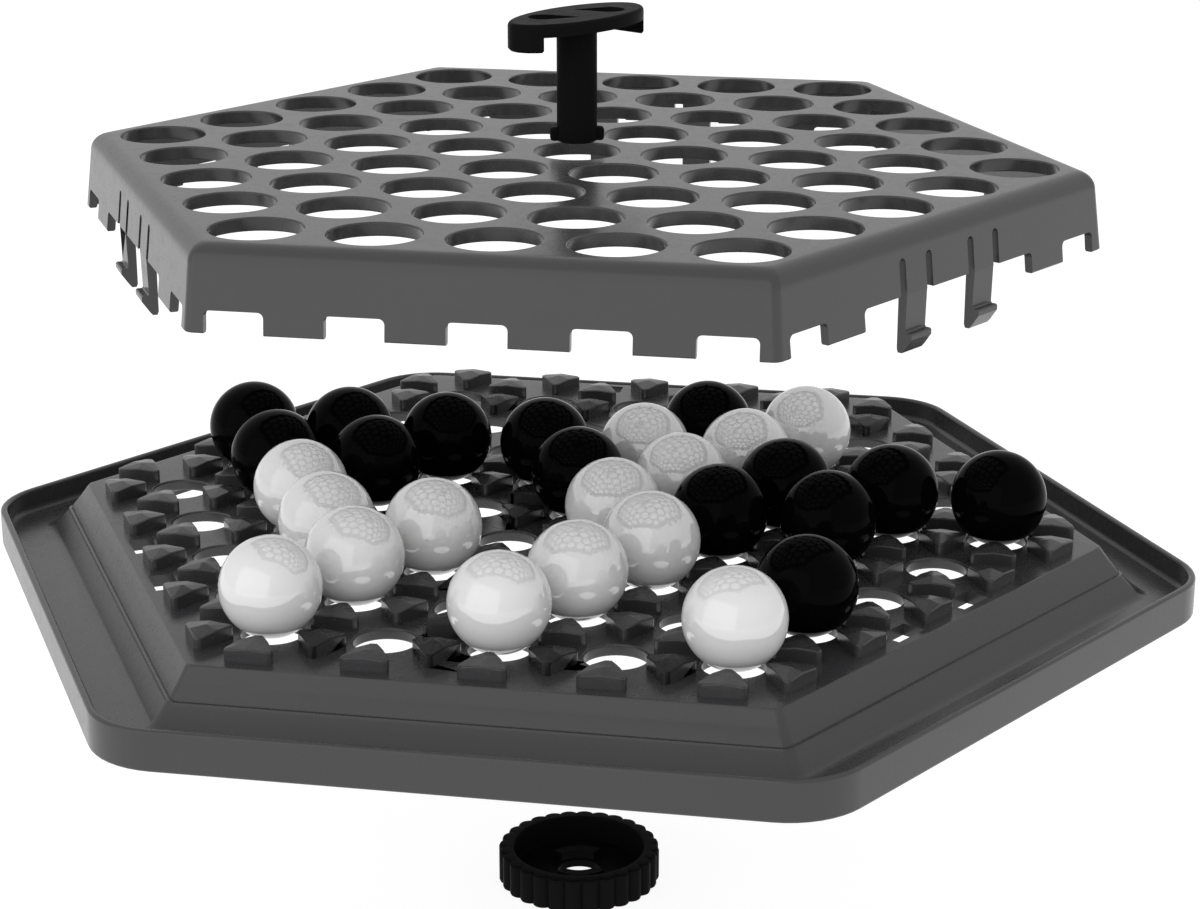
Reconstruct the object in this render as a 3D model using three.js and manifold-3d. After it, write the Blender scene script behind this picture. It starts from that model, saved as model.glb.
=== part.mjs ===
// A hexagonal marble-pushing board for two players, set out as an exploded set:
// ring nut, base tray, 28 marbles, cover and locking key, one above the other on one upright axis.
// Millimetres, +Z up. The origin is on the axis, at the underside of the ring nut.
// Rows of places run along X, and the player's side of the board faces -Y.

import * as THREE from 'three';
import { ConvexGeometry } from 'three/addons/geometries/ConvexGeometry.js';
import { mergeVertices } from 'three/addons/utils/BufferGeometryUtils.js';
import Module from 'manifold-3d';

const wasm = await Module();
wasm.setup();

// ---- driving dimensions ----

const PITCH = 27; // between the centres of neighbouring places
const SIDE_PLACES = 5; // places along one side of the hexagon
const OVERRUN = 5; // how far a cutter passes beyond the face it cuts
const COS30 = Math.cos(Math.PI / 6);

// heights in the exploded set
const NUT_HEIGHT = 0.345 * PITCH;
const TRAY_Z = 3.28 * PITCH; // lower edge of the tray's rim
const COVER_TOP_Z = 7.43 * PITCH; // flat top of the cover
const KEY_TOP_Z = 8.7 * PITCH; // flat top of the key's head

// base tray, heights from its lower edge, and distances from the axis square to a side
const TRAY_APOTHEM = 5.165 * PITCH;
const TRAY_CORNER_RADIUS = 0.75 * PITCH;
const RIM_HEIGHT = 0.37 * PITCH;
const RIM_THICKNESS = 0.07 * PITCH;
const GUTTER_FLOOR = 0.14 * PITCH;
const GUTTER_THICKNESS = 0.085 * PITCH;
const BEVEL_FOOT_APOTHEM = 4.66 * PITCH;
const STEP_APOTHEM = 4.49 * PITCH;
const STEP_HEIGHT = 0.335 * PITCH;
const SHOULDER_APOTHEM = 4.385 * PITCH;
const SHOULDER_HEIGHT = 0.464 * PITCH;
const FIELD_APOTHEM = 4.3 * PITCH;
const FIELD_HEIGHT = 0.595 * PITCH;
const FIELD_THICKNESS = 0.11 * PITCH;
const TRAY_SHELL = 0.1 * PITCH;
const SEAT_HOLE_RADIUS = 0.275 * PITCH;
const SEAT_HOLE_SIDES = 10;

// studs, one at each corner where up to three places meet
const STUD_TIP_RADIUS = 0.24 * PITCH;
const STUD_SIDE_RADIUS = 0.142 * PITCH;
const STUD_PEAK = 0.15 * PITCH;
const STUD_SIDE_HEIGHT = 0.13 * PITCH;
const STUD_TIP_HEIGHT = 0.11 * PITCH;
const STUD_ROOT = 0.04 * PITCH;

// cover, depths below its flat top
const PLATE_THICKNESS = 0.13 * PITCH;
const COVER_HOLE_RADIUS = 0.3984 * PITCH; // at the top face
const COVER_HOLE_FLARE = 0.43 * PITCH; // radius at the underside, which clears a marble's shoulder
const COVER_HOLE_SIDES = 14;
const COVER_FLAT_APOTHEM = 3.95 * PITCH;
const COVER_EDGE_APOTHEM = 4.105 * PITCH;
const COVER_EDGE_DEPTH = 0.12 * PITCH;
const SKIRT_APOTHEM = 4.165 * PITCH;
const SKIRT_DEPTH = 0.715 * PITCH;
const SKIRT_THICKNESS = 0.078 * PITCH;
const SKIRT_INNER_DEPTH = 0.16 * PITCH; // where the inner face of the skirt starts
const NOTCH_WIDTH = 0.5 * PITCH;
const NOTCH_HEIGHT = 0.19 * PITCH;

// snap clips, in pairs on every other side
const CLIP_OFFSET = 0.5 * PITCH; // from the middle of the side
const CLIP_WIDTH = 0.29 * PITCH;
const CLIP_GAP = 0.09 * PITCH; // slit beside a clip
const CLIP_SLIT_HEIGHT = 0.31 * PITCH; // how far the slits run up into the skirt
const CLIP_OUTER_APOTHEM = 4.135 * PITCH;
const CLIP_THICKNESS = 0.078 * PITCH;
const CLIP_DEPTH = 1.03 * PITCH;
const HOOK_REACH = 0.065 * PITCH;
const HOOK_LEDGE_DEPTH = 0.855 * PITCH;
const HOOK_EDGE = 0.035 * PITCH;
const SLOT_INNER_APOTHEM = 4.0 * PITCH;
const SLOT_OUTER_APOTHEM = 4.22 * PITCH;
const SLOT_LENGTH = 0.38 * PITCH;

// marbles
const MARBLE_RADIUS = 0.4463 * PITCH;
const MARBLE_HEIGHT = 0.418 * PITCH; // centre above the field
const MARBLE_DETAIL = 2;

// locking key, depths below the flat top of its head
const HEAD_HALF_LENGTH = 0.83 * PITCH;
const HEAD_HALF_WIDTH = 0.385 * PITCH;
const HEAD_THICKNESS = 0.117 * PITCH;
const HEAD_SEGMENTS = 20;
const LIP_DEPTH = 0.253 * PITCH;
const LIP_START = 0.69 * PITCH; // from the axis along the head
const HEAD_TURN = Math.PI / 3; // the head lies along a row of places
const RECESS_DEPTH = 0.05 * PITCH;
const RECESS_CENTRE = [-0.36 * PITCH, 0.09 * PITCH]; // of the round end, along and across the head
const RECESS_RADIUS = 0.14 * PITCH;
const RECESS_TIP = [-0.13 * PITCH, -0.17 * PITCH];
const POST_RADIUS = 0.186 * PITCH;
const POST_SIDES = 20;
const POST_DEPTH = 1.172 * PITCH;
const POST_CORE_RADIUS = 0.152 * PITCH; // blind hole up the end of the post
const POST_CORE_DEPTH = 0.2 * PITCH;
const LUG_REACH = 0.25 * PITCH;
const LUG_WIDTH = 0.1 * PITCH;
const LUG_HEIGHT = 0.13 * PITCH;
const LUG_TURN = Math.PI / 12;

// ring nut, heights from its underside
const NUT_RADIUS = 0.785 * PITCH;
const NUT_BORE_RADIUS = 0.653 * PITCH;
const NUT_FLOOR = 0.08 * PITCH;
const NUT_HOLE_RADIUS = 0.21 * PITCH;
const NUT_SIDES = 28;
const KNURL_COUNT = 28;
const KNURL_RADIUS = 0.06 * PITCH;
const KNURL_SIDES = 6;
const RAMP_INNER_RADIUS = 0.225 * PITCH;
const RAMP_OUTER_RADIUS = 0.33 * PITCH;
const RAMP_HEIGHT = 0.1 * PITCH;
const RAMP_SWEEP = Math.PI / 2;

// ---- finishes ----

const finishes = {
  board: { color: 0x4a4a4c, roughness: 0.3, metalness: 0 },
  lock: { color: 0x0c0c0c, roughness: 0.45, metalness: 0 },
  white: { color: 0xf2f2f0, roughness: 0.08, metalness: 0 },
  black: { color: 0x060606, roughness: 0.08, metalness: 0 },
};

// ---- from geometry to solid and back ----

function solid(geometry) {
  const bare = geometry.clone();
  bare.deleteAttribute('normal');
  bare.deleteAttribute('uv');
  const merged = mergeVertices(bare, 1e-3);
  return new wasm.Manifold(
    new wasm.Mesh({
      numProp: 3,
      vertProperties: new Float32Array(merged.attributes.position.array),
      triVerts: new Uint32Array(merged.index.array),
    }),
  );
}

function geometryOf(manifold) {
  const { vertProperties, triVerts } = manifold.getMesh();
  const geometry = new THREE.BufferGeometry();
  geometry.setAttribute('position', new THREE.BufferAttribute(vertProperties, 3));
  geometry.setIndex(new THREE.BufferAttribute(triVerts, 1));
  geometry.computeVertexNormals();
  return geometry;
}

// ---- basic shapes ----

/** A profile of [radius, height] points turned about Z. */
function turned(profile, sides, start = 0) {
  const points = profile.map(([radius, height]) => new THREE.Vector2(radius, height));
  const geometry = new THREE.LatheGeometry(points, sides, start, 2 * Math.PI);
  return geometry.rotateX(Math.PI / 2);
}

/** A profile of [apothem, height] points carried round a hexagon with corners on the X axis. */
function hexagonal(profile) {
  const corners = profile.map(([apothem, height]) => [apothem / COS30, height]);
  return turned(corners, 6, Math.PI / 2);
}

function rod(radius, low, high, sides) {
  return turned([[0, low], [radius, low], [radius, high], [0, high]], sides);
}

function box(width, depth, height) {
  return new THREE.BoxGeometry(width, depth, height);
}

function roundedHexagon(apothem, cornerRadius) {
  const shape = new THREE.Shape();
  const centreRadius = (apothem - cornerRadius) / COS30;
  for (let corner = 0; corner < 6; corner += 1) {
    const angle = (corner * Math.PI) / 3;
    const x = centreRadius * Math.cos(angle);
    const y = centreRadius * Math.sin(angle);
    shape.absarc(x, y, cornerRadius, angle - Math.PI / 6, angle + Math.PI / 6, false);
  }
  return shape;
}

/** A shape in the XY plane raised from low to high. */
function raised(shape, low, high, curveSegments = 6) {
  const settings = { depth: high - low, bevelEnabled: false, curveSegments };
  return new THREE.ExtrudeGeometry(shape, settings).translate(0, 0, low);
}

// ---- the lattice of places ----

function place(row, index) {
  const lastRow = 2 * (SIDE_PLACES - 1);
  const length = SIDE_PLACES + Math.min(row, lastRow - row);
  const x = (index - (length - 1) / 2) * PITCH;
  const y = (row - (SIDE_PLACES - 1)) * COS30 * PITCH;
  return { x, y, length };
}

function allPlaces() {
  const places = [];
  for (let row = 0; row < 2 * SIDE_PLACES - 1; row += 1) {
    for (let index = 0; index < place(row, 0).length; index += 1) {
      places.push(place(row, index));
    }
  }
  return places;
}

/** The corners where places meet, each with the direction of one of its places. */
function allCorners() {
  const corners = new Map();
  const reach = PITCH / (2 * COS30);
  for (const { x, y } of allPlaces()) {
    for (let corner = 0; corner < 6; corner += 1) {
      const angle = Math.PI / 6 + (corner * Math.PI) / 3;
      const at = [x + reach * Math.cos(angle), y + reach * Math.sin(angle)];
      const key = at.map((value) => Math.round(value)).join();
      if (!corners.has(key)) {
        corners.set(key, { x: at[0], y: at[1], towards: angle + Math.PI });
      }
    }
  }
  return [...corners.values()];
}

/** The six sides, each with the turn that brings the +X direction square to it. */
function allSides() {
  return [0, 1, 2, 3, 4, 5].map((side) => ({
    turn: Math.PI / 6 + (side * Math.PI) / 3,
    clipped: side % 2 === 1,
  }));
}

const clipPlaces = allSides()
  .filter(({ clipped }) => clipped)
  .flatMap(({ turn }) => [-CLIP_OFFSET, CLIP_OFFSET].map((along) => ({ turn, along })));

// ---- base tray ----

function stud(towards) {
  const points = [];
  for (let spoke = 0; spoke < 6; spoke += 1) {
    const isTip = spoke % 2 === 0;
    const radius = isTip ? STUD_TIP_RADIUS : STUD_SIDE_RADIUS;
    const top = isTip ? STUD_TIP_HEIGHT : STUD_SIDE_HEIGHT;
    const angle = towards + (spoke * Math.PI) / 3;
    const x = radius * Math.cos(angle);
    const y = radius * Math.sin(angle);
    points.push(new THREE.Vector3(x, y, -STUD_ROOT), new THREE.Vector3(x, y, top));
  }
  points.push(new THREE.Vector3(0, 0, STUD_PEAK));
  return new ConvexGeometry(points);
}

function trayShell() {
  const innerApothem = TRAY_APOTHEM - RIM_THICKNESS;
  const innerCorner = TRAY_CORNER_RADIUS - RIM_THICKNESS;
  const outer = solid(raised(roundedHexagon(TRAY_APOTHEM, TRAY_CORNER_RADIUS), 0, RIM_HEIGHT));
  const inner = roundedHexagon(innerApothem, innerCorner);
  const gutter = solid(raised(inner, GUTTER_FLOOR, RIM_HEIGHT + OVERRUN));
  const underside = solid(raised(inner, -OVERRUN, GUTTER_FLOOR - GUTTER_THICKNESS));
  const mound = solid(
    hexagonal([
      [0, GUTTER_FLOOR - GUTTER_THICKNESS],
      [BEVEL_FOOT_APOTHEM, GUTTER_FLOOR - GUTTER_THICKNESS],
      [BEVEL_FOOT_APOTHEM, GUTTER_FLOOR],
      [STEP_APOTHEM, STEP_HEIGHT],
      [SHOULDER_APOTHEM, SHOULDER_HEIGHT],
      [FIELD_APOTHEM, FIELD_HEIGHT],
      [0, FIELD_HEIGHT],
    ]),
  );
  const hollow = solid(
    hexagonal([
      [0, -OVERRUN],
      [BEVEL_FOOT_APOTHEM - TRAY_SHELL, -OVERRUN],
      [BEVEL_FOOT_APOTHEM - TRAY_SHELL, GUTTER_FLOOR - TRAY_SHELL / 2],
      [STEP_APOTHEM - TRAY_SHELL, STEP_HEIGHT - TRAY_SHELL / 2],
      [FIELD_APOTHEM - TRAY_SHELL / 2, FIELD_HEIGHT - FIELD_THICKNESS],
      [0, FIELD_HEIGHT - FIELD_THICKNESS],
    ]),
  );
  return outer.subtract(gutter).subtract(underside).add(mound).subtract(hollow);
}

function clipSlot({ turn, along }) {
  const width = SLOT_OUTER_APOTHEM - SLOT_INNER_APOTHEM;
  const middle = (SLOT_OUTER_APOTHEM + SLOT_INNER_APOTHEM) / 2;
  const slot = box(width, SLOT_LENGTH, FIELD_THICKNESS + 2 * OVERRUN);
  return slot.translate(middle, along, FIELD_HEIGHT).rotateZ(turn);
}

function baseTray() {
  let tray = trayShell();
  for (const { x, y, towards } of allCorners()) {
    tray = tray.add(solid(stud(towards).translate(x, y, FIELD_HEIGHT)));
  }
  const low = FIELD_HEIGHT - FIELD_THICKNESS - OVERRUN;
  for (const { x, y } of allPlaces()) {
    const hole = rod(SEAT_HOLE_RADIUS, low, FIELD_HEIGHT + OVERRUN, SEAT_HOLE_SIDES);
    tray = tray.subtract(solid(hole.translate(x, y, 0)));
  }
  for (const clipPlace of clipPlaces) {
    tray = tray.subtract(solid(clipSlot(clipPlace)));
  }
  return geometryOf(tray);
}

// ---- cover ----

function coverShell() {
  return solid(
    hexagonal([
      [0, -PLATE_THICKNESS],
      [COVER_FLAT_APOTHEM, -PLATE_THICKNESS],
      [COVER_EDGE_APOTHEM - SKIRT_THICKNESS, -SKIRT_INNER_DEPTH],
      [SKIRT_APOTHEM - SKIRT_THICKNESS, -SKIRT_DEPTH],
      [SKIRT_APOTHEM, -SKIRT_DEPTH],
      [COVER_EDGE_APOTHEM, -COVER_EDGE_DEPTH],
      [(COVER_FLAT_APOTHEM + 2 * COVER_EDGE_APOTHEM) / 3, -COVER_EDGE_DEPTH / 3],
      [COVER_FLAT_APOTHEM, 0],
      [0, 0],
    ]),
  );
}

/** A cutter through the skirt, from the lower edge of the skirt up to a depth below the top. */
function skirtCut(turn, along, width, depth) {
  const height = SKIRT_DEPTH + OVERRUN - depth;
  const cutter = box(2 * OVERRUN + SKIRT_THICKNESS, width, height);
  return solid(cutter.translate(SKIRT_APOTHEM, along, -depth - height / 2).rotateZ(turn));
}

function skirtCuts() {
  const notchDepth = SKIRT_DEPTH - NOTCH_HEIGHT;
  const slitOffset = (CLIP_WIDTH + CLIP_GAP) / 2;
  const cuts = [];
  for (const { turn, clipped } of allSides()) {
    for (let notch = -2; notch <= 2; notch += 1) {
      cuts.push(skirtCut(turn, notch * PITCH, NOTCH_WIDTH, notchDepth));
    }
    if (clipped) {
      cuts.push(skirtCut(turn, 0, 2 * PITCH + NOTCH_WIDTH, notchDepth));
    }
  }
  for (const { turn, along } of clipPlaces) {
    for (const offset of [-slitOffset, slitOffset]) {
      cuts.push(skirtCut(turn, along + offset, CLIP_GAP, notchDepth - CLIP_SLIT_HEIGHT));
    }
  }
  return cuts;
}

/** The skirt's outer face at a depth below the cover's top. */
function skirtApothem(depth) {
  const share = (depth - COVER_EDGE_DEPTH) / (SKIRT_DEPTH - COVER_EDGE_DEPTH);
  return COVER_EDGE_APOTHEM + share * (SKIRT_APOTHEM - COVER_EDGE_APOTHEM);
}

/** A tongue with an outward hook, drawn in section; it starts flush with the skirt. */
function clip({ turn, along }) {
  const notchDepth = SKIRT_DEPTH - NOTCH_HEIGHT;
  const rootDepth = notchDepth - CLIP_SLIT_HEIGHT / 2;
  const root = -rootDepth;
  const section = new THREE.Shape();
  section.moveTo(CLIP_OUTER_APOTHEM - CLIP_THICKNESS, root);
  section.lineTo(CLIP_OUTER_APOTHEM - CLIP_THICKNESS, -CLIP_DEPTH);
  section.lineTo(CLIP_OUTER_APOTHEM - CLIP_THICKNESS / 3, -CLIP_DEPTH);
  section.lineTo(CLIP_OUTER_APOTHEM + HOOK_REACH, -HOOK_LEDGE_DEPTH - HOOK_EDGE);
  section.lineTo(CLIP_OUTER_APOTHEM + HOOK_REACH, -HOOK_LEDGE_DEPTH);
  section.lineTo(CLIP_OUTER_APOTHEM, -HOOK_LEDGE_DEPTH);
  section.lineTo(skirtApothem(notchDepth), -notchDepth);
  section.lineTo(skirtApothem(rootDepth), root);
  section.closePath();
  const tongue = raised(section, -CLIP_WIDTH / 2, CLIP_WIDTH / 2);
  return solid(tongue.rotateX(Math.PI / 2).translate(0, along, 0).rotateZ(turn));
}

/** A cutter for a hole that widens from the top face down to the underside. */
function coverHole() {
  const profile = [
    [0, -PLATE_THICKNESS - OVERRUN],
    [COVER_HOLE_FLARE, -PLATE_THICKNESS - OVERRUN],
    [COVER_HOLE_FLARE, -PLATE_THICKNESS],
    [COVER_HOLE_RADIUS, 0],
    [COVER_HOLE_RADIUS, OVERRUN],
    [0, OVERRUN],
  ];
  return turned(profile, COVER_HOLE_SIDES);
}

function cover() {
  let shell = coverShell();
  for (const cut of skirtCuts()) {
    shell = shell.subtract(cut);
  }
  for (const clipPlace of clipPlaces) {
    shell = shell.add(clip(clipPlace));
  }
  for (const { x, y } of allPlaces()) {
    shell = shell.subtract(solid(coverHole().translate(x, y, 0)));
  }
  return geometryOf(shell);
}

// ---- locking key ----

/** A teardrop with its round end out along the head and its tip across the middle line. */
function teardrop() {
  const [x, y] = RECESS_CENTRE;
  const back = [x - RECESS_TIP[0], y - RECESS_TIP[1]];
  const spread = Math.acos(RECESS_RADIUS / Math.hypot(...back));
  const facing = Math.atan2(-back[1], -back[0]);
  const shape = new THREE.Shape();
  shape.moveTo(...RECESS_TIP);
  shape.absarc(x, y, RECESS_RADIUS, facing + spread, facing - spread + 2 * Math.PI, false);
  shape.closePath();
  return shape;
}

function keyHead() {
  const oval = new THREE.Shape();
  oval.absellipse(0, 0, HEAD_HALF_LENGTH, HEAD_HALF_WIDTH, 0, 2 * Math.PI, false, 0);
  const block = solid(raised(oval, -LIP_DEPTH, 0, HEAD_SEGMENTS));
  const lipGap = box(2 * LIP_START, 2 * HEAD_HALF_LENGTH, LIP_DEPTH);
  let head = block.subtract(solid(lipGap.translate(0, 0, -HEAD_THICKNESS - LIP_DEPTH / 2)));
  for (const turn of [0, Math.PI]) {
    head = head.subtract(solid(raised(teardrop(), -RECESS_DEPTH, OVERRUN, 4).rotateZ(turn)));
  }
  return head.rotate([0, 0, THREE.MathUtils.radToDeg(HEAD_TURN)]);
}

function lockingKey() {
  const post = solid(rod(POST_RADIUS, -POST_DEPTH, -HEAD_THICKNESS / 2, POST_SIDES));
  const coreTop = -POST_DEPTH + POST_CORE_DEPTH;
  const core = solid(rod(POST_CORE_RADIUS, -POST_DEPTH - OVERRUN, coreTop, POST_SIDES));
  const lugMiddle = -POST_DEPTH + LUG_HEIGHT / 2;
  const lugs = box(2 * LUG_REACH, LUG_WIDTH, LUG_HEIGHT).translate(0, 0, lugMiddle);
  return geometryOf(keyHead().add(post).add(solid(lugs.rotateZ(LUG_TURN))).subtract(core));
}

// ---- ring nut ----

function ramp(turn) {
  const start = turn - RAMP_SWEEP / 2;
  const end = turn + RAMP_SWEEP / 2;
  const shape = new THREE.Shape();
  shape.absarc(0, 0, RAMP_OUTER_RADIUS, start, end, false);
  shape.absarc(0, 0, RAMP_INNER_RADIUS, end, start, true);
  return solid(raised(shape, NUT_FLOOR / 2, NUT_FLOOR + RAMP_HEIGHT));
}

function ringNut() {
  let nut = solid(
    turned(
      [
        [NUT_HOLE_RADIUS, 0],
        [NUT_RADIUS, 0],
        [NUT_RADIUS, NUT_HEIGHT],
        [NUT_BORE_RADIUS, NUT_HEIGHT],
        [NUT_BORE_RADIUS, NUT_FLOOR],
        [NUT_HOLE_RADIUS, NUT_FLOOR],
        [NUT_HOLE_RADIUS, 0],
      ],
      NUT_SIDES,
    ),
  );
  for (let knurl = 0; knurl < KNURL_COUNT; knurl += 1) {
    const angle = (knurl * 2 * Math.PI) / KNURL_COUNT;
    const at = NUT_RADIUS - KNURL_RADIUS / 2;
    const ridge = rod(KNURL_RADIUS, 0, NUT_HEIGHT, KNURL_SIDES).rotateZ(angle);
    nut = nut.add(solid(ridge.translate(at * Math.cos(angle), at * Math.sin(angle), 0)));
  }
  for (const side of [Math.PI / 2, -Math.PI / 2]) {
    nut = nut.add(ramp(LUG_TURN + side));
  }
  return geometryOf(nut);
}

// ---- marbles, by row from the front and place from the left ----

const whitePlaces = [
  [0, 0], [0, 2], [0, 4], [1, 1], [1, 3], [2, 1], [2, 2],
  [2, 4], [3, 1], [3, 4], [4, 5], [5, 4], [5, 5], [6, 5],
];
const blackPlaces = [
  [1, 5], [3, 5], [3, 6], [4, 1], [4, 2], [4, 4], [4, 6],
  [4, 7], [4, 8], [5, 0], [5, 1], [5, 2], [5, 3], [6, 4],
];

function marble() {
  return new THREE.IcosahedronGeometry(MARBLE_RADIUS, MARBLE_DETAIL);
}

// ---- the set ----

const board = new THREE.Group();

function put(name, geometry, finish, x, y, z) {
  const mesh = new THREE.Mesh(geometry, new THREE.MeshStandardMaterial(finish));
  mesh.name = name;
  mesh.position.set(x, y, z);
  board.add(mesh);
}

function putMarbles(colour, places) {
  places.forEach(([row, index], order) => {
    const { x, y } = place(row, index);
    const name = `${colour}_marble_${String(order + 1).padStart(2, '0')}`;
    put(name, marble(), finishes[colour], x, y, TRAY_Z + FIELD_HEIGHT + MARBLE_HEIGHT);
  });
}

put('ring_nut', ringNut(), finishes.lock, 0, 0, 0);
put('base_tray', baseTray(), finishes.board, 0, 0, TRAY_Z);
putMarbles('white', whitePlaces);
putMarbles('black', blackPlaces);
put('cover', cover(), finishes.board, 0, 0, COVER_TOP_Z);
put('locking_key', lockingKey(), finishes.lock, 0, 0, KEY_TOP_Z);

export default board;
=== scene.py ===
"""A hexagonal marble-pushing board set, opened out: ring nut, base tray, marbles, cover and locking key."""

import math

import bmesh
import bpy
from mathutils import Matrix, Vector
from mathutils.geometry import delaunay_2d_cdt


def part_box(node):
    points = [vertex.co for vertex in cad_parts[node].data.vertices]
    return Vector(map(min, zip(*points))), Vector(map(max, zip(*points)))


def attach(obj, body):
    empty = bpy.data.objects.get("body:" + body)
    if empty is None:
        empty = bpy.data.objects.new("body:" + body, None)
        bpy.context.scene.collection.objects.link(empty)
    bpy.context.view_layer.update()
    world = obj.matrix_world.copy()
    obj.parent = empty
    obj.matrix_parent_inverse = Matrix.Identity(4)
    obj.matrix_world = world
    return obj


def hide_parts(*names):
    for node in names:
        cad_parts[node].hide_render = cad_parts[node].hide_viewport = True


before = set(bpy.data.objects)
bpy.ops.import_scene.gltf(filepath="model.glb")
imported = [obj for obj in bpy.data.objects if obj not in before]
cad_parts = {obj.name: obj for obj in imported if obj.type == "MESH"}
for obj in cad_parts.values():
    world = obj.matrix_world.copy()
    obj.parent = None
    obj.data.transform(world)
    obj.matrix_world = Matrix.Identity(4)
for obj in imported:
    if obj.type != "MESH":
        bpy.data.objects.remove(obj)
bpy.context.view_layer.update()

# ---- driving dimensions, in metres ----

PITCH = 0.027  # between the centres of neighbouring places
SIDE_PLACES = 5  # places along one side of the hexagon
COS30 = math.cos(math.radians(30))
BEYOND = 0.004  # how far a cutter passes beyond the face it cuts

TRAY_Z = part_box("base_tray")[0][2]
COVER_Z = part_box("cover")[1][2]
KEY_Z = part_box("locking_key")[1][2]

# base tray: distances from the axis square to a side, and heights from its lower edge
RIM_APOTHEM = 5.165 * PITCH
RIM_CORNER = 0.75 * PITCH
RIM_HEIGHT = 0.37 * PITCH
RIM_WALL = 0.07 * PITCH
RIM_EDGE = 0.028 * PITCH
GUTTER_FLOOR = 0.14 * PITCH
GUTTER_SKIN = 0.085 * PITCH
GUTTER_CURVE = 0.06 * PITCH
BEVEL_FOOT = 4.66 * PITCH
GROOVE_APOTHEM = 4.49 * PITCH
GROOVE_HEIGHT = 0.335 * PITCH
GROOVE_STEP = 0.022 * PITCH
SHOULDER_APOTHEM = 4.385 * PITCH
SHOULDER_HEIGHT = 0.464 * PITCH
FIELD_APOTHEM = 4.3 * PITCH
FIELD_HEIGHT = 0.595 * PITCH
FIELD_PLATE = 0.11 * PITCH
MOUND_CORNER = 0.09 * PITCH
TRAY_SHELL = 0.1 * PITCH
SEAT_HOLE_RADIUS = 0.275 * PITCH
SEAT_HOLE_LIP = 0.02 * PITCH

# studs, one at each corner where up to three places meet
STUD_TIP = 0.24 * PITCH
STUD_SIDE = 0.142 * PITCH
STUD_PEAK = 0.15 * PITCH
STUD_SIDE_HEIGHT = 0.13 * PITCH
STUD_TIP_HEIGHT = 0.11 * PITCH
STUD_ROOT = 0.04 * PITCH
STUD_TIP_ROUND = 0.016 * PITCH
STUD_TIP_TURN = 9  # degrees
STUD_EDGE = 0.01 * PITCH

# cover: depths below its flat top
COVER_PLATE = 0.13 * PITCH
COVER_HOLE_RADIUS = 0.3984 * PITCH  # at the top face
COVER_HOLE_FLARE = 0.43 * PITCH  # radius at the underside
COVER_HOLE_LIP = 0.014 * PITCH
COVER_SHOULDER = 0.17 * PITCH
COVER_APOTHEM = 4.105 * PITCH
COVER_CORNER = 0.1 * PITCH
SKIRT_APOTHEM = 4.165 * PITCH
SKIRT_DEPTH = 0.715 * PITCH
SKIRT_WALL = 0.078 * PITCH
SKIRT_EDGE = 0.012 * PITCH
NOTCH_WIDTH = 0.5 * PITCH
NOTCH_HEIGHT = 0.19 * PITCH
NOTCH_CORNER = 0.05 * PITCH

# snap clips, in pairs on every other side
CLIP_OFFSET = 0.5 * PITCH
CLIP_WIDTH = 0.29 * PITCH
CLIP_GAP = 0.09 * PITCH
CLIP_SLIT = 0.31 * PITCH
CLIP_FACE = 4.135 * PITCH
CLIP_THICKNESS = 0.078 * PITCH
CLIP_DEPTH = 1.03 * PITCH
HOOK_REACH = 0.065 * PITCH
HOOK_LEDGE = 0.855 * PITCH
SLOT_INNER = 4.0 * PITCH
SLOT_OUTER = 4.22 * PITCH
SLOT_LENGTH = 0.38 * PITCH

MARBLE_RADIUS = 0.4463 * PITCH

# locking key: depths below the flat top of its head
HEAD_LENGTH = 0.83 * PITCH
HEAD_WIDTH = 0.39 * PITCH
HEAD_THICKNESS = 0.117 * PITCH
HEAD_EDGE = 0.04 * PITCH
HEAD_TURN = math.radians(60)
LIP_DEPTH = 0.253 * PITCH
LIP_START = 0.69 * PITCH
RECESS_DEPTH = 0.055 * PITCH
RECESS_RADIUS = 0.14 * PITCH
RECESS_CENTRE = (-0.36 * PITCH, 0.09 * PITCH)  # of the round end, along and across the head
RECESS_TIP = (-0.13 * PITCH, -0.17 * PITCH)
POST_RADIUS = 0.186 * PITCH
POST_DEPTH = 1.172 * PITCH
POST_CORE_RADIUS = 0.152 * PITCH
POST_CORE_DEPTH = 0.2 * PITCH
LUG_REACH = 0.25 * PITCH
LUG_WIDTH = 0.1 * PITCH
LUG_HEIGHT = 0.13 * PITCH
LUG_EDGE = 0.03 * PITCH
LUG_TURN = math.radians(15)

# ring nut: heights from its underside
NUT_HEIGHT = 0.345 * PITCH
NUT_RADIUS = 0.806 * PITCH
NUT_VALLEY = 0.042 * PITCH
NUT_EDGE = 0.03 * PITCH
NUT_BORE = 0.653 * PITCH
NUT_FLOOR = 0.08 * PITCH
NUT_HOLE = 0.21 * PITCH
KNURLS = 28
RAMP_INNER = 0.225 * PITCH
RAMP_OUTER = 0.33 * PITCH
RAMP_HEIGHT = 0.1 * PITCH
RAMP_SWEEP = math.radians(90)


# ---- mesh helpers ----

def mesh_of(points, faces):
    """A mesh with its faces turned outwards."""
    mesh = bpy.data.meshes.new("work")
    mesh.from_pydata(points, [], faces)
    work = bmesh.new()
    work.from_mesh(mesh)
    bmesh.ops.recalc_face_normals(work, faces=work.faces)
    work.to_mesh(mesh)
    work.free()
    return mesh


def flat_cap(loop, start, inner, points):
    """Triangles over a flat convex loop that meet at the inner points too, which are added to the points."""
    height = loop[0][2]
    flat = [Vector(point[:2]) for point in loop] + [Vector(point) for point in inner]
    edges = [(step, (step + 1) % len(loop)) for step in range(len(loop))]
    result = delaunay_2d_cdt(flat, edges, [], 1, 1e-7)
    first_inner = len(points)
    points.extend((x, y, height) for x, y in inner)
    number = {}
    for made, origins in enumerate(result[3]):
        number[made] = start + origins[0] if origins[0] < len(loop) else first_inner + origins[0] - len(loop)
    return [tuple(number[corner] for corner in face) for face in result[2]]


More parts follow.
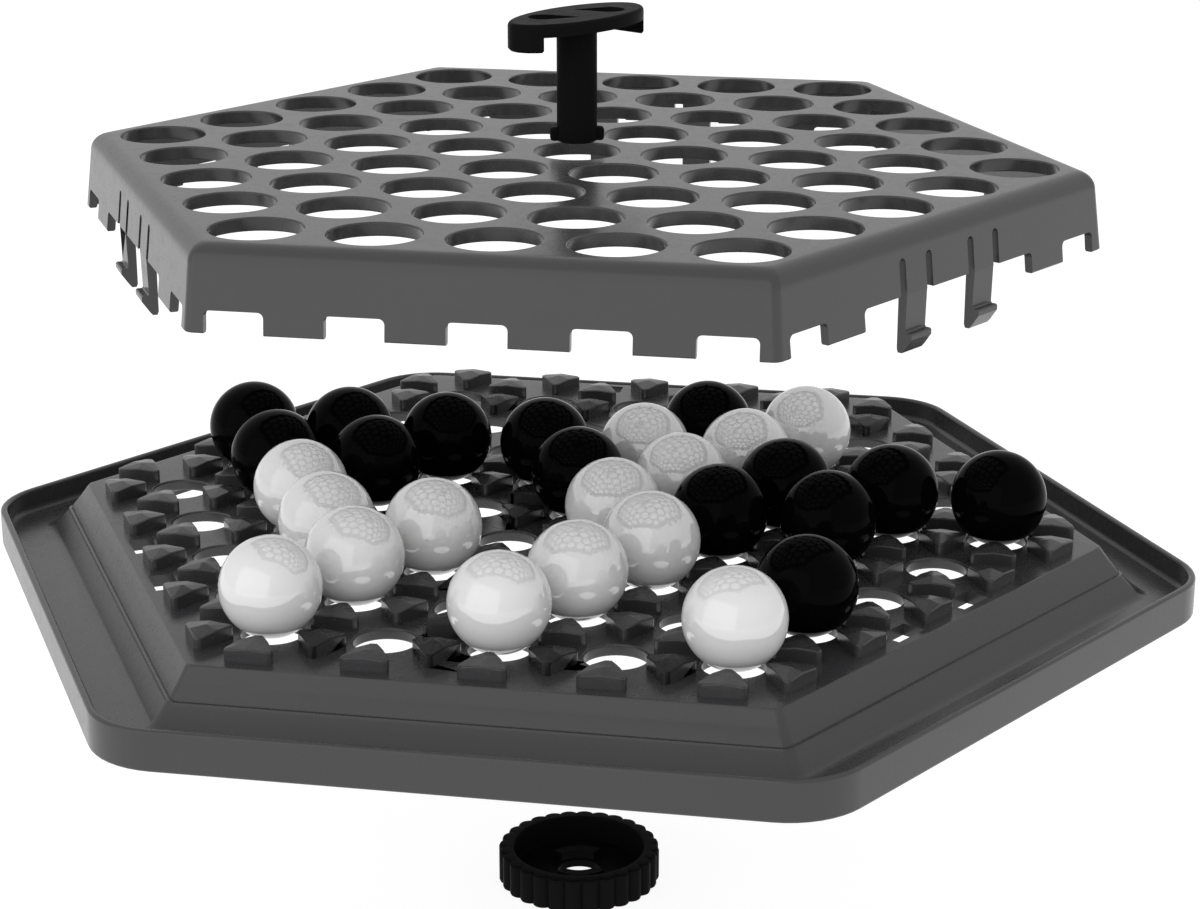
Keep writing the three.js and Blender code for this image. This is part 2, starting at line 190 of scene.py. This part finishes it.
def lofted(loops, closed=False, inner=None):
    """A skin over loops of equally many points, with a flat cap on each end unless it closes on itself."""
    count = len(loops[0])
    points = [point for loop in loops for point in loop]
    faces = []
    bands = len(loops) if closed else len(loops) - 1
    for band in range(bands):
        low = band * count
        high = ((band + 1) % len(loops)) * count
        for step in range(count):
            after = (step + 1) % count
            faces.append((low + step, low + after, high + after, high + step))
    last = (len(loops) - 1) * count
    if inner:
        faces += flat_cap(loops[0], 0, inner, points)
        faces += flat_cap(loops[-1], last, inner, points)
    elif not closed:
        faces.append(tuple(range(count)))
        faces.append(tuple(last + step for step in range(count)))
    return mesh_of(points, faces)


def circle(radius, z, sides):
    angles = [2 * math.pi * step / sides for step in range(sides)]
    return [(radius * math.cos(angle), radius * math.sin(angle), z) for angle in angles]


def hexagon(apothem, corner, z, arc=8):
    """A hexagon with rounded corners, two of them on the X axis."""
    reach = (apothem - corner) / COS30
    points = []
    for side in range(6):
        middle = math.radians(60 * side)
        for step in range(arc + 1):
            angle = middle + math.radians(60) * (step / arc - 0.5)
            x = reach * math.cos(middle) + corner * math.cos(angle)
            y = reach * math.sin(middle) + corner * math.sin(angle)
            points.append((x, y, z))
    return points


def fillet(centre_r, centre_z, radius, start, end, steps=5):
    """Points of an arc in a profile, as (distance, height), from one angle to another in degrees."""
    points = []
    for step in range(steps + 1):
        angle = math.radians(start + (end - start) * step / steps)
        points.append((centre_r + radius * math.cos(angle), centre_z + radius * math.sin(angle)))
    return points


def extruded(outline, low, high):
    """A flat outline of (x, y) points raised from low to high."""
    return lofted([[(x, y, low) for x, y in outline], [(x, y, high) for x, y in outline]])


def block(low, high):
    outline = [(low[0], low[1]), (high[0], low[1]), (high[0], high[1]), (low[0], high[1])]
    return extruded(outline, low[2], high[2])


def moved(mesh, matrix):
    """A copy of a mesh, turned and shifted."""
    copy = mesh.copy()
    copy.transform(matrix)
    return copy


def gathered(meshes):
    """Several meshes that don't touch, as one."""
    work = bmesh.new()
    for mesh in meshes:
        work.from_mesh(mesh)
    mesh = bpy.data.meshes.new("work")
    work.to_mesh(mesh)
    work.free()
    return mesh


def combined(mesh, other, operation):
    """Adds or takes away one closed mesh from another."""
    first = bpy.data.objects.new("first", mesh)
    second = bpy.data.objects.new("second", other)
    for each in (first, second):
        bpy.context.scene.collection.objects.link(each)
    step = first.modifiers.new("combine", "BOOLEAN")
    step.operation = operation
    step.solver = "MANIFOLD"
    step.object = second
    result = bpy.data.meshes.new_from_object(first.evaluated_get(bpy.context.evaluated_depsgraph_get()))
    for each in (first, second):
        bpy.data.objects.remove(each)
    return result


def added(mesh, other):
    return combined(mesh, other, "UNION")


def cut(mesh, other):
    return combined(mesh, other, "DIFFERENCE")


def edged(mesh, width, segments=2):
    """A copy of a mesh with all its edges slightly rounded."""
    work = bmesh.new()
    work.from_mesh(mesh)
    bmesh.ops.bevel(work, geom=work.edges[:], offset=width, segments=segments, profile=0.5, affect="EDGES")
    bmesh.ops.recalc_face_normals(work, faces=work.faces)
    result = bpy.data.meshes.new("work")
    work.to_mesh(result)
    work.free()
    return result


def smoothed(mesh, sharp_degrees=32):
    """Smooth shading that keeps the edges sharper than an angle."""
    work = bmesh.new()
    work.from_mesh(mesh)
    limit = math.radians(sharp_degrees)
    for face in work.faces:
        face.smooth = True
    for edge in work.edges:
        edge.smooth = len(edge.link_faces) == 2 and edge.calc_face_angle(math.pi) < limit
    work.to_mesh(mesh)
    work.free()
    return mesh


def piece(name, mesh, body, material, height=0.0):
    """Puts a finished piece in the scene in place of the CAD node of its body."""
    mesh = smoothed(mesh)
    mesh.transform(Matrix.Translation((0, 0, height)))
    mesh.name = name
    thing = bpy.data.objects.new(name, mesh)
    bpy.context.scene.collection.objects.link(thing)
    mesh.materials.clear()
    mesh.materials.append(material)
    weights = thing.modifiers.new("even_shading", "WEIGHTED_NORMAL")
    weights.keep_sharp = True
    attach(thing, body)
    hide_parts(body)
    return thing


# ---- the lattice of places ----

def place(row, index):
    length = SIDE_PLACES + min(row, 2 * (SIDE_PLACES - 1) - row)
    return ((index - (length - 1) / 2) * PITCH, (row - (SIDE_PLACES - 1)) * COS30 * PITCH, length)


def places():
    rows = range(2 * SIDE_PLACES - 1)
    return [place(row, index)[:2] for row in rows for index in range(place(row, 0)[2])]


def corners():
    """The corners where places meet, each with the direction of one of its places."""
    reach = PITCH / (2 * COS30)
    found = {}
    for x, y in places():
        for step in range(6):
            angle = math.radians(30 + 60 * step)
            at = (x + reach * math.cos(angle), y + reach * math.sin(angle))
            found.setdefault((round(at[0], 3), round(at[1], 3)), (at[0], at[1], angle + math.pi))
    return list(found.values())


def points_within(apothem):
    """The places and their corners that lie inside a hexagon."""
    found = places() + [(x, y) for x, y, _ in corners()]
    inside = []
    for x, y in found:
        farthest = max(x * math.cos(side) + y * math.sin(side) for side in SIDES)
        if farthest < apothem:
            inside.append((x, y))
    return inside


SIDES = [math.radians(30 + 60 * side) for side in range(6)]
CLIPPED_SIDES = SIDES[1::2]
CLIP_PLACES = [(turn, along) for turn in CLIPPED_SIDES for along in (-CLIP_OFFSET, CLIP_OFFSET)]


def rounded_hole(radius, lip, low, high, sides=56):
    """A cutter for a round hole through a plate, with its two edges rounded."""
    profile = [(radius + lip, low - BEYOND)]
    profile += fillet(radius + lip, low + lip, -lip, 90, 0, 3)
    profile += fillet(radius + lip, high - lip, -lip, 0, -90, 3)
    profile += [(radius + lip, high + BEYOND)]
    return lofted([circle(r, z, sides) for r, z in profile])


def holes_at_places(cutter):
    return gathered([moved(cutter, Matrix.Translation((x, y, 0))) for x, y in places()])


def at_clip_places(mesh):
    """Copies of a mesh drawn for the +X side, one at each clip's place."""
    copies = []
    for turn, along in CLIP_PLACES:
        copies.append(moved(mesh, Matrix.Rotation(turn, 4, "Z") @ Matrix.Translation((0, along, 0))))
    return gathered(copies)


# ---- base tray ----

def tray_shell():
    rim_inner = RIM_APOTHEM - RIM_WALL
    under_floor = GUTTER_FLOOR - GUTTER_SKIN
    corner_in = RIM_CORNER - RIM_WALL
    profile = [
        (FIELD_APOTHEM - TRAY_SHELL / 2, FIELD_HEIGHT - FIELD_PLATE, MOUND_CORNER),
        (GROOVE_APOTHEM - TRAY_SHELL, GROOVE_HEIGHT - TRAY_SHELL / 2, MOUND_CORNER),
        (BEVEL_FOOT - TRAY_SHELL, GUTTER_FLOOR - TRAY_SHELL / 2, MOUND_CORNER),
        (BEVEL_FOOT - TRAY_SHELL, under_floor, MOUND_CORNER),
        (rim_inner, under_floor, corner_in),
    ]
    foot = RIM_EDGE / 2
    profile += [(a, z, corner_in) for a, z in fillet(rim_inner + foot, foot, foot, 180, 270, 3)]
    outer = RIM_APOTHEM - RIM_EDGE
    profile += [(a, z, RIM_CORNER) for a, z in fillet(outer, RIM_EDGE, RIM_EDGE, 270, 360, 4)]
    top = RIM_HEIGHT - RIM_EDGE
    profile += [(a, z, RIM_CORNER) for a, z in fillet(outer, top, RIM_EDGE, 0, 90, 4)]
    profile += [(a, z, corner_in) for a, z in fillet(rim_inner + RIM_EDGE, top, RIM_EDGE, 90, 180, 4)]
    curve = GUTTER_CURVE
    profile += [
        (a, z, corner_in) for a, z in fillet(rim_inner - curve, GUTTER_FLOOR + curve, curve, 0, -90, 5)
    ]
    profile += [
        (BEVEL_FOOT + curve, GUTTER_FLOOR, MOUND_CORNER * 2.2),
        (BEVEL_FOOT + curve * 0.3, GUTTER_FLOOR + curve * 0.12, MOUND_CORNER * 2),
        (BEVEL_FOOT - curve * 0.4, GUTTER_FLOOR + curve * 0.6, MOUND_CORNER * 1.8),
        (GROOVE_APOTHEM + GROOVE_STEP, GROOVE_HEIGHT - GROOVE_STEP, MOUND_CORNER * 1.5),
        (GROOVE_APOTHEM + GROOVE_STEP * 0.4, GROOVE_HEIGHT, MOUND_CORNER * 1.4),
        (GROOVE_APOTHEM - GROOVE_STEP * 0.7, GROOVE_HEIGHT + GROOVE_STEP * 0.1, MOUND_CORNER * 1.4),
        (GROOVE_APOTHEM - GROOVE_STEP, GROOVE_HEIGHT + GROOVE_STEP * 1.2, MOUND_CORNER * 1.3),
        (SHOULDER_APOTHEM + 0.01 * PITCH, SHOULDER_HEIGHT - 0.012 * PITCH, MOUND_CORNER),
        (SHOULDER_APOTHEM - 0.008 * PITCH, SHOULDER_HEIGHT + 0.014 * PITCH, MOUND_CORNER),
        (FIELD_APOTHEM + 0.012 * PITCH, FIELD_HEIGHT - 0.018 * PITCH, MOUND_CORNER),
        (FIELD_APOTHEM, FIELD_HEIGHT - 0.004 * PITCH, MOUND_CORNER),
        (FIELD_APOTHEM - 0.014 * PITCH, FIELD_HEIGHT, MOUND_CORNER),
    ]
    loops = [hexagon(apothem, corner, z) for apothem, z, corner in profile]
    return lofted(loops, inner=points_within(FIELD_APOTHEM - TRAY_SHELL))


def stud():
    """One faceted stud that points at its three places, the first of them along +X."""
    work = bmesh.new()
    spokes = [(60 * spoke, STUD_SIDE, STUD_SIDE_HEIGHT) for spoke in (1, 3, 5)]
    for spoke in (0, 2, 4):
        spokes.append((60 * spoke, STUD_TIP, STUD_TIP_HEIGHT))
        for turn in (-STUD_TIP_TURN, STUD_TIP_TURN):
            spokes.append((60 * spoke + turn, STUD_TIP - STUD_TIP_ROUND, STUD_TIP_HEIGHT))
    for degrees, radius, top in spokes:
        angle = math.radians(degrees)
        for z in (-STUD_ROOT, top):
            work.verts.new((radius * math.cos(angle), radius * math.sin(angle), z))
    work.verts.new((0, 0, STUD_PEAK))
    bmesh.ops.convex_hull(work, input=work.verts)
    bmesh.ops.dissolve_limit(work, angle_limit=math.radians(1), verts=work.verts, edges=work.edges)
    mesh = bpy.data.meshes.new("work")
    work.to_mesh(mesh)
    work.free()
    return edged(mesh, STUD_EDGE)


def studs():
    one = stud()
    rise = Matrix.Translation((0, 0, FIELD_HEIGHT))
    return gathered([
        moved(one, Matrix.Translation((x, y, 0)) @ rise @ Matrix.Rotation(towards, 4, "Z"))
        for x, y, towards in corners()
    ])


def clip_slots():
    low = (SLOT_INNER, -SLOT_LENGTH / 2, FIELD_HEIGHT - FIELD_PLATE - BEYOND)
    high = (SLOT_OUTER, SLOT_LENGTH / 2, FIELD_HEIGHT + STUD_PEAK + BEYOND)
    return at_clip_places(block(low, high))


def base_tray():
    hole = rounded_hole(SEAT_HOLE_RADIUS, SEAT_HOLE_LIP, FIELD_HEIGHT - FIELD_PLATE, FIELD_HEIGHT, 40)
    tray = added(tray_shell(), studs())
    tray = cut(tray, holes_at_places(hole))
    return cut(tray, clip_slots())


# ---- cover ----

def cover_shell():
    inner_radius = COVER_SHOULDER - COVER_PLATE
    flat = COVER_APOTHEM - COVER_SHOULDER
    inner_corner = COVER_CORNER * 0.5
    inner_flat = COVER_APOTHEM - SKIRT_WALL - inner_radius
    profile = [(a, z, inner_corner) for a, z in fillet(inner_flat, -COVER_SHOULDER, inner_radius, 90, 0, 5)]
    profile += [(SKIRT_APOTHEM - SKIRT_WALL, -SKIRT_DEPTH + SKIRT_EDGE, inner_corner)]
    profile += [(SKIRT_APOTHEM - SKIRT_WALL + SKIRT_EDGE, -SKIRT_DEPTH, inner_corner)]
    profile += [(SKIRT_APOTHEM - SKIRT_EDGE, -SKIRT_DEPTH, COVER_CORNER)]
    profile += [(SKIRT_APOTHEM, -SKIRT_DEPTH + SKIRT_EDGE, COVER_CORNER)]
    profile += [(a, z, COVER_CORNER) for a, z in fillet(flat, -COVER_SHOULDER, COVER_SHOULDER, 0, 90, 8)]
    loops = [hexagon(apothem, corner, z) for apothem, z, corner in profile]
    return lofted(loops, inner=points_within(flat - SKIRT_WALL / 4))


def flared_hole(sides=56):
    """A cutter for a hole that widens downwards, with a rounded upper lip."""
    lip = COVER_HOLE_LIP
    profile = [(COVER_HOLE_FLARE + lip, -COVER_PLATE - BEYOND), (COVER_HOLE_FLARE + lip, -COVER_PLATE)]
    profile += [(COVER_HOLE_FLARE, -COVER_PLATE + lip)]
    profile += fillet(COVER_HOLE_RADIUS + lip, -lip, -lip, 0, -90, 3)
    profile += [(COVER_HOLE_RADIUS + lip, BEYOND)]
    return lofted([circle(r, z, sides) for r, z in profile])


def arched(width, corner, low, top):
    """A cutter outline in the plane of a side: square below, with rounded upper corners."""
    half = width / 2
    points = [(-half, low), (half, low)]
    points += fillet(half - corner, top - corner, corner, 0, 90, 5)
    points += fillet(corner - half, top - corner, corner, 90, 180, 5)
    return points


def through_side(outline, turn, along):
    """A cutter with an outline drawn on one side of the skirt, passing through the wall."""
    wall = extruded(outline, SKIRT_APOTHEM - BEYOND, SKIRT_APOTHEM + BEYOND)
    upright = Matrix(((0, 0, 1, 0), (1, 0, 0, along), (0, 1, 0, 0), (0, 0, 0, 1)))
    return moved(wall, Matrix.Rotation(turn, 4, "Z") @ upright)


def skirt_notches():
    bottom = -SKIRT_DEPTH - BEYOND
    notch_top = -SKIRT_DEPTH + NOTCH_HEIGHT
    notch = arched(NOTCH_WIDTH, NOTCH_CORNER, bottom, notch_top)
    wide = arched(2 * PITCH + NOTCH_WIDTH, NOTCH_CORNER, bottom, notch_top)
    cutters = []
    for turn in SIDES:
        clipped = turn in CLIPPED_SIDES
        for step in range(-2, 3):
            if not clipped or abs(step) == 2:
                cutters.append(through_side(notch, turn, step * PITCH))
        if clipped:
            cutters.append(through_side(wide, turn, 0))
    return gathered(cutters)


def clip_slits():
    top = -SKIRT_DEPTH + NOTCH_HEIGHT + CLIP_SLIT
    slit = arched(CLIP_GAP, CLIP_GAP * 0.49, -SKIRT_DEPTH, top)
    offset = (CLIP_WIDTH + CLIP_GAP) / 2
    return gathered([
        through_side(slit, turn, along + shift) for turn, along in CLIP_PLACES for shift in (-offset, offset)
    ])


def skirt_face(z):
    """How far out the skirt's slanted outer face stands at a height."""
    share = (-COVER_SHOULDER - z) / (SKIRT_DEPTH - SKIRT_EDGE - COVER_SHOULDER)
    return COVER_APOTHEM + share * (SKIRT_APOTHEM - COVER_APOTHEM)


def clip():
    """A tongue with an outward hook, its section drawn outwards and up; it carries on the skirt's face."""
    inner = CLIP_FACE - CLIP_THICKNESS
    notch_top = -SKIRT_DEPTH + NOTCH_HEIGHT
    root = notch_top + CLIP_SLIT / 2
    sunk = 0.002 * PITCH
    hook_face = CLIP_FACE + HOOK_REACH
    toe = 0.03 * PITCH
    nose = 0.05 * PITCH
    crook_out = 0.01 * PITCH
    crook_up = 0.015 * PITCH
    edge = 0.012 * PITCH
    section = [
        (inner, root),
        (inner, -CLIP_DEPTH + toe),
        (inner + edge, -CLIP_DEPTH),
        (CLIP_FACE - CLIP_THICKNESS / 3, -CLIP_DEPTH),
        (CLIP_FACE, -CLIP_DEPTH + toe),
        (hook_face, -HOOK_LEDGE - nose),
        (hook_face, -HOOK_LEDGE - edge),
        (hook_face - edge, -HOOK_LEDGE),
        (CLIP_FACE + crook_out, -HOOK_LEDGE),
        (CLIP_FACE, -HOOK_LEDGE + crook_up),
        (skirt_face(notch_top) - sunk, notch_top),
        (skirt_face(root) - sunk, root),
    ]
    tongue = extruded(section, -CLIP_WIDTH / 2, CLIP_WIDTH / 2)
    upright = Matrix(((1, 0, 0, 0), (0, 0, 1, 0), (0, 1, 0, 0), (0, 0, 0, 1)))
    return moved(tongue, upright)


def clips():
    return at_clip_places(clip())


def cover():
    shell = cut(cover_shell(), skirt_notches())
    shell = cut(shell, clip_slits())
    shell = added(shell, clips())
    return cut(shell, holes_at_places(flared_hole()))


# ---- locking key ----

def oval(scale_down, z, sides=96):
    points = circle(1, z, sides)
    return [(x * (HEAD_LENGTH - scale_down), y * (HEAD_WIDTH - scale_down), z) for x, y, _ in points]


def finger_hollow():
    """A teardrop on one end of the head, its round end outwards and its tip across the middle line."""
    centre = Vector(RECESS_CENTRE)
    tip = Vector(RECESS_TIP)
    away = centre - tip
    spread = math.acos(RECESS_RADIUS / away.length)
    facing = math.atan2(-away.y, -away.x)
    points = [tuple(tip)]
    steps = 16
    for step in range(steps + 1):
        angle = facing + spread + (2 * math.pi - 2 * spread) * step / steps
        x = centre.x + RECESS_RADIUS * math.cos(angle)
        y = centre.y + RECESS_RADIUS * math.sin(angle)
        points.append((x, y))
    middle = (centre + tip) / 2
    taper = 0.9
    floor = []
    for x, y in points:
        floor.append(((x - middle.x) * taper + middle.x, (y - middle.y) * taper + middle.y, -RECESS_DEPTH))
    rim = [(x, y, 0) for x, y in points]
    above = [(x, y, BEYOND) for x, y in points]
    return lofted([floor, rim, above])


def key_head():
    profile = [(HEAD_EDGE / 2, -LIP_DEPTH), (0, -LIP_DEPTH + HEAD_EDGE / 2)]
    profile += [(HEAD_EDGE - a, z) for a, z in fillet(0, -HEAD_EDGE, HEAD_EDGE, 0, 90, 5)]
    head = lofted([oval(inset, z) for inset, z in profile])
    gap_low = (-LIP_START, -HEAD_LENGTH, -LIP_DEPTH - BEYOND)
    gap_high = (LIP_START, HEAD_LENGTH, -HEAD_THICKNESS)
    head = cut(head, block(gap_low, gap_high))
    hollow = finger_hollow()
    head = cut(head, gathered([hollow, moved(hollow, Matrix.Rotation(math.pi, 4, "Z"))]))
    return moved(head, Matrix.Rotation(HEAD_TURN, 4, "Z"))


def key_post():
    flare = 0.03 * PITCH
    edge = 0.012 * PITCH
    sunk = 0.001
    profile = [(POST_RADIUS - edge, -POST_DEPTH), (POST_RADIUS, -POST_DEPTH + edge)]
    profile += [(POST_RADIUS, -HEAD_THICKNESS - flare), (POST_RADIUS + flare, -HEAD_THICKNESS + sunk)]
    return lofted([circle(r, z, 48) for r, z in profile])


def locking_key():
    lug_low = (-LUG_REACH, -LUG_WIDTH / 2, -POST_DEPTH)
    lug_high = (LUG_REACH, LUG_WIDTH / 2, -POST_DEPTH + LUG_HEIGHT)
    lugs = moved(edged(block(lug_low, lug_high), LUG_EDGE), Matrix.Rotation(LUG_TURN, 4, "Z"))
    key = added(added(key_head(), key_post()), lugs)
    ends = (-POST_DEPTH - BEYOND, -POST_DEPTH + POST_CORE_DEPTH)
    return cut(key, lofted([circle(POST_CORE_RADIUS, z, 40) for z in ends]))


# ---- ring nut ----

def knurled(inset, z, per_knurl=10):
    """A loop round the nut with rounded ridges and narrow valleys."""
    count = KNURLS * per_knurl
    points = []
    for step in range(count):
        angle = 2 * math.pi * step / count
        ridge = abs(math.sin(KNURLS * angle / 2)) ** 0.7
        radius = NUT_RADIUS - NUT_VALLEY * (1 - ridge) - inset
        points.append((radius * math.cos(angle), radius * math.sin(angle), z))
    return points


def ramp(turn):
    steps = 16
    angles = [turn + RAMP_SWEEP * (step / steps - 0.5) for step in range(steps + 1)]
    outline = [(RAMP_OUTER * math.cos(a), RAMP_OUTER * math.sin(a)) for a in angles]
    outline += [(RAMP_INNER * math.cos(a), RAMP_INNER * math.sin(a)) for a in reversed(angles)]
    return extruded(outline, NUT_FLOOR / 2, NUT_FLOOR + RAMP_HEIGHT)


def ring_nut():
    sides = KNURLS * 10
    top = NUT_HEIGHT
    middle = NUT_EDGE * 0.3
    insets = [(NUT_EDGE, 0), (middle, middle), (0, NUT_EDGE)]
    insets += [(0, top - NUT_EDGE), (middle, top - middle), (NUT_EDGE, top)]
    loops = [knurled(inset, z) for inset, z in insets]
    edge = NUT_EDGE * 0.6
    loops += [circle(r, z, sides) for r, z in fillet(NUT_BORE + edge, top - edge, edge, 90, 180, 3)]
    loops += [circle(r, z, sides) for r, z in fillet(NUT_BORE - edge, NUT_FLOOR + edge, edge, 0, -90, 3)]
    lip = edge / 3
    hole = ((NUT_HOLE + lip, NUT_FLOOR), (NUT_HOLE, NUT_FLOOR - lip), (NUT_HOLE, 0))
    loops += [circle(r, z, sides) for r, z in hole]
    nut = lofted(loops, closed=True)
    return added(nut, gathered([ramp(LUG_TURN + math.pi / 2), ramp(LUG_TURN - math.pi / 2)]))


# ---- marbles ----

def marble_ball(divisions=18):
    """A ball made from a cube's six grids pushed out to the radius."""
    work = bmesh.new()
    bmesh.ops.create_cube(work, size=2)
    bmesh.ops.subdivide_edges(work, edges=work.edges[:], cuts=divisions - 1, use_grid_fill=True)
    for vert in work.verts:
        bent = Vector([math.tan(c * math.pi / 4) for c in vert.co])
        vert.co = bent.normalized() * MARBLE_RADIUS
    for face in work.faces:
        face.smooth = True
    mesh = bpy.data.meshes.new("marble_ball")
    work.to_mesh(mesh)
    work.free()
    return mesh


def marbles(colour, material):
    ball = marble_ball()
    ball.materials.append(material)
    for node in sorted(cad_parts):
        if not node.startswith(colour + "_marble"):
            continue
        low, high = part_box(node)
        marble = bpy.data.objects.new(node + "_ball", ball)
        marble.location = [(a + b) / 2 for a, b in zip(low, high)]
        bpy.context.scene.collection.objects.link(marble)
        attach(marble, node)
        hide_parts(node)


# ---- materials ----

def socket(group, name, kind, side, value=None):
    made = group.interface.new_socket(name=name, in_out=side, socket_type=kind)
    if value is not None:
        made.default_value = value
    return made


def moulded_surface_group():
    """Slow drift, fine grain and faint rubbed streaks of a moulded surface."""
    group = bpy.data.node_groups.new("moulded_surface", "ShaderNodeTree")
    socket(group, "Drift", "NodeSocketFloat", "OUTPUT")
    socket(group, "Rubbed", "NodeSocketFloat", "OUTPUT")
    socket(group, "Height", "NodeSocketFloat", "OUTPUT")
    nodes = group.nodes
    links = group.links
    place_of = nodes.new("ShaderNodeTexCoord")
    drift = nodes.new("ShaderNodeTexNoise")
    drift.inputs["Scale"].default_value = 22.0
    drift.inputs["Detail"].default_value = 4.0
    streaks = nodes.new("ShaderNodeTexNoise")
    streaks.inputs["Scale"].default_value = 260.0
    streaks.inputs["Detail"].default_value = 6.0
    streaks.inputs["Distortion"].default_value = 1.4
    rubbed = nodes.new("ShaderNodeMapRange")
    rubbed.inputs["From Min"].default_value = 0.45
    rubbed.inputs["From Max"].default_value = 0.75
    grain = nodes.new("ShaderNodeTexNoise")
    grain.inputs["Scale"].default_value = 2600.0
    grain.inputs["Detail"].default_value = 2.0
    out = nodes.new("NodeGroupOutput")
    for texture in (drift, streaks, grain):
        links.new(place_of.outputs["Object"], texture.inputs["Vector"])
    links.new(streaks.outputs["Fac"], rubbed.inputs["Value"])
    links.new(drift.outputs["Fac"], out.inputs["Drift"])
    links.new(rubbed.outputs["Result"], out.inputs["Rubbed"])
    links.new(grain.outputs["Fac"], out.inputs["Height"])
    return group


MOULDED = moulded_surface_group()


def moulded_plastic(name, dark, light, smooth, rough, grain_depth, ior=1.5, shine=0.5):
    """A moulded plastic whose colour and gloss drift a little over the surface."""
    material = bpy.data.materials.new(name)
    material.use_nodes = True
    nodes = material.node_tree.nodes
    links = material.node_tree.links
    shader = nodes["Principled BSDF"]
    shader.inputs["IOR"].default_value = ior
    shader.inputs["Specular IOR Level"].default_value = shine
    surface = nodes.new("ShaderNodeGroup")
    surface.node_tree = MOULDED
    colour = nodes.new("ShaderNodeMix")
    colour.data_type = "RGBA"
    colour.inputs[6].default_value = (*dark, 1)
    colour.inputs[7].default_value = (*light, 1)
    gloss = nodes.new("ShaderNodeMapRange")
    gloss.inputs["To Min"].default_value = smooth
    gloss.inputs["To Max"].default_value = rough
    bump = nodes.new("ShaderNodeBump")
    bump.inputs["Strength"].default_value = 0.25
    bump.inputs["Distance"].default_value = grain_depth
    links.new(surface.outputs["Drift"], colour.inputs["Factor"])
    links.new(surface.outputs["Rubbed"], gloss.inputs["Value"])
    links.new(surface.outputs["Height"], bump.inputs["Height"])
    links.new(colour.outputs[2], shader.inputs["Base Color"])
    links.new(gloss.outputs["Result"], shader.inputs["Roughness"])
    links.new(bump.outputs["Normal"], shader.inputs["Normal"])
    return material


# ---- studio ----

def floor():
    size = 8
    mesh = mesh_of([(-size, -size, 0), (size, -size, 0), (size, size, 0), (-size, size, 0)], [(0, 1, 2, 3)])
    for polygon in mesh.polygons:
        if polygon.normal.z < 0:
            polygon.flip()
    ground = bpy.data.objects.new("floor", mesh)
    bpy.context.scene.collection.objects.link(ground)
    material = bpy.data.materials.new("floor_paper")
    material.use_nodes = True
    shader = material.node_tree.nodes["Principled BSDF"]
    shader.inputs["Base Color"].default_value = (0.25, 0.25, 0.25, 1)
    shader.inputs["Roughness"].default_value = 0.9
    shader.inputs["Specular IOR Level"].default_value = 0
    shader.inputs["Emission Color"].default_value = (1, 1, 1, 1)
    shader.inputs["Emission Strength"].default_value = 0.9
    mesh.materials.append(material)


def soft_light(name, where, width, power):
    light = bpy.data.lights.new(name, "AREA")
    light.shape = "SQUARE"
    light.size = width
    light.energy = power
    lamp = bpy.data.objects.new(name, light)
    lamp.location = where
    lamp.rotation_euler = (Vector((0, 0, 0.1)) - Vector(where)).to_track_quat("-Z", "Y").to_euler()
    bpy.context.scene.collection.objects.link(lamp)


def studio():
    world = bpy.data.worlds.new("white_tent")
    world.use_nodes = True
    world.node_tree.nodes["Background"].inputs["Color"].default_value = (1, 1, 1, 1)
    world.node_tree.nodes["Background"].inputs["Strength"].default_value = 0.8
    bpy.context.scene.world = world
    soft_light("front_left", (-0.65, -1.3, 0.45), 2.2, 8)
    bpy.context.scene.view_settings.view_transform = "Standard"


def camera():
    lens = bpy.data.cameras.new("camera")
    lens.sensor_width = 36
    lens.lens = 82.1
    lens.dof.use_dof = False
    lens.clip_start = 0.01
    viewer = bpy.data.objects.new("camera", lens)
    viewer.location = (0.12887, -0.65895, 0.34282)
    looking = Vector((-0.1743, 0.9333, -0.3139))
    viewer.rotation_euler = looking.to_track_quat("-Z", "Y").to_euler()
    bpy.context.scene.collection.objects.link(viewer)
    bpy.context.scene.camera = viewer


# ---- the set ----

camera()
studio()
floor()

board_plastic = moulded_plastic(
    "board_plastic", (0.037, 0.0365, 0.039), (0.043, 0.0425, 0.045), smooth=0.25, rough=0.3, grain_depth=5e-6
)
lock_plastic = moulded_plastic(
    "lock_plastic", (0.006, 0.006, 0.0062), (0.008, 0.008, 0.0082), smooth=0.36, rough=0.45, grain_depth=3e-5,
    shine=0.01,
)
white_polish = moulded_plastic(
    "white_polish", (0.78, 0.78, 0.78), (0.82, 0.82, 0.815), smooth=0.02, rough=0.04, grain_depth=2e-6,
    ior=2.1,
)
black_polish = moulded_plastic(
    "black_polish", (0.001, 0.001, 0.001), (0.002, 0.002, 0.002), smooth=0.08, rough=0.12, grain_depth=2e-6,
    shine=0.02,
)

piece("tray_board", base_tray(), "base_tray", board_plastic, TRAY_Z)
piece("pierced_cover", cover(), "cover", board_plastic, COVER_Z)
piece("key_piece", locking_key(), "locking_key", lock_plastic, KEY_Z)
piece("nut_piece", ring_nut(), "ring_nut", lock_plastic)
marbles("white", white_polish)
marbles("black", black_polish)
